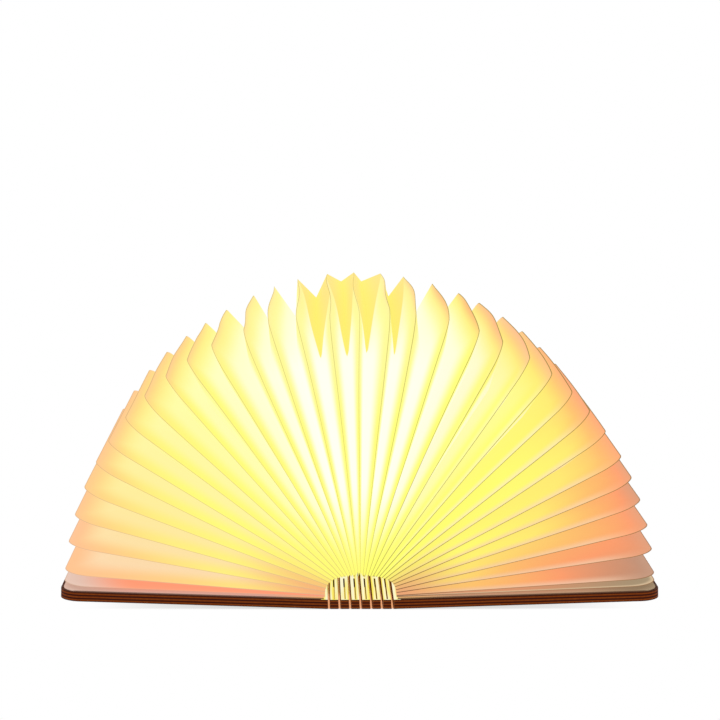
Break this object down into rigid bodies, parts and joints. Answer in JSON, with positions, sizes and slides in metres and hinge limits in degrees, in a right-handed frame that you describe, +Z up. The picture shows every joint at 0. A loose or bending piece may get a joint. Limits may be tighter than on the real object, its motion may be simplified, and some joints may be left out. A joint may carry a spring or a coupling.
{
  "type": "folding book lamp",
  "caption": "Folding book lamp: plywood covers on a kerf-cut living-hinge spine open a pleated paper shade over a light core.",
  "frame": {"origin": "on the table under the middle of the spine, midway between the front and rear edges", "axes": "+X across the open covers to the right cover, -Y towards the front edge, +Z up"},
  "size_m": [0.352, 0.215, 0.1764],
  "materials": {
    "plywood": "dark stained birch plywood, laser-cut edges",
    "pleated_paper": "folded translucent paper, lit from inside",
    "endpaper": "matt paper glued to the cover",
    "magnet": "nickel-plated disc",
    "channel": "anodised extrusion",
    "screw_steel": "zinc-plated",
    "diffuser": "frosted acrylic",
    "cap_plastic": "fine-textured moulding",
    "board_white": "white solder mask",
    "light_chip": "phosphor gel",
    "cell_wrap": "shrink wrap",
    "foam_pad": "self-adhesive foam",
    "board_green": "green solder mask",
    "chip_black": "moulded epoxy",
    "socket_steel": "folded tinned steel",
    "light_pipe": "clear acrylic"
  },
  "bodies": {
    "spine": {"spine_centre": "plywood", "shade_left_top": "pleated_paper", "shade_right_top": "pleated_paper", "core_channel": "channel", "core_screws": "screw_steel", "diffuser": "diffuser", "front_cap": "cap_plastic", "rear_cap": "cap_plastic", "led_board": "board_white", "led_chips": "light_chip", "battery": "cell_wrap", "battery_pad": "foam_pad", "charge_board": "board_green", "charge_chips": "chip_black", "hall_sensor": "chip_black", "usb_shell": "socket_steel", "usb_tongue": "chip_black", "light_pipe": "light_pipe"},
    "left_inner_slat": {"spine_left_inner": "plywood", "shade_left_mid": "pleated_paper"},
    "left_outer_slat": {"spine_left_outer": "plywood"},
    "left_board": {"left_cover": "plywood", "endpaper_left": "endpaper", "cover_magnets_left": "magnet", "shade_left_low": "pleated_paper"},
    "right_inner_slat": {"spine_right_inner": "plywood", "shade_right_mid": "pleated_paper"},
    "right_outer_slat": {"spine_right_outer": "plywood"},
    "right_board": {"right_cover": "plywood", "endpaper_right": "endpaper", "cover_magnets_right": "magnet", "sensor_magnet": "magnet", "shade_right_low": "pleated_paper"}
  },
  "joints": [
    {"name": "left_inner_slat_fold", "type": "hinge", "parent": "spine", "child": "left_inner_slat", "pos_m": [-0.0062, 0, 0.0027], "axis": [0, 1, 0], "range_deg": [-30.6, 29.4], "deforming": ["shade_left_top"]},
    {"name": "left_outer_slat_fold", "type": "hinge", "parent": "left_inner_slat", "child": "left_outer_slat", "pos_m": [-0.0124, 0, 0.0027], "axis": [0, 1, 0], "range_deg": [-30.6, 29.4], "deforming": ["shade_left_mid"]},
    {"name": "left_cover_fold", "type": "hinge", "parent": "left_outer_slat", "child": "left_board", "pos_m": [-0.0186, 0, 0.0027], "axis": [0, 1, 0], "range_deg": [-30.6, 29.4], "deforming": ["shade_left_low"]},
    {"name": "right_inner_slat_fold", "type": "hinge", "parent": "spine", "child": "right_inner_slat", "pos_m": [0.0062, 0, 0.0027], "axis": [0, -1, 0], "range_deg": [-30.6, 29.4], "deforming": ["shade_right_top"]},
    {"name": "right_outer_slat_fold", "type": "hinge", "parent": "right_inner_slat", "child": "right_outer_slat", "pos_m": [0.0124, 0, 0.0027], "axis": [0, -1, 0], "range_deg": [-30.6, 29.4], "deforming": ["shade_right_mid"]},
    {"name": "right_cover_fold", "type": "hinge", "parent": "right_outer_slat", "child": "right_board", "pos_m": [0.0186, 0, 0.0027], "axis": [0, -1, 0], "range_deg": [-30.6, 29.4], "deforming": ["shade_right_low"]}
  ],
  "couplings": [
    {"joint": "left_inner_slat_fold", "follows": "left_cover_fold", "ratio": 1},
    {"joint": "left_outer_slat_fold", "follows": "left_cover_fold", "ratio": 1},
    {"joint": "right_inner_slat_fold", "follows": "right_cover_fold", "ratio": 1},
    {"joint": "right_outer_slat_fold", "follows": "right_cover_fold", "ratio": 1}
  ]
}
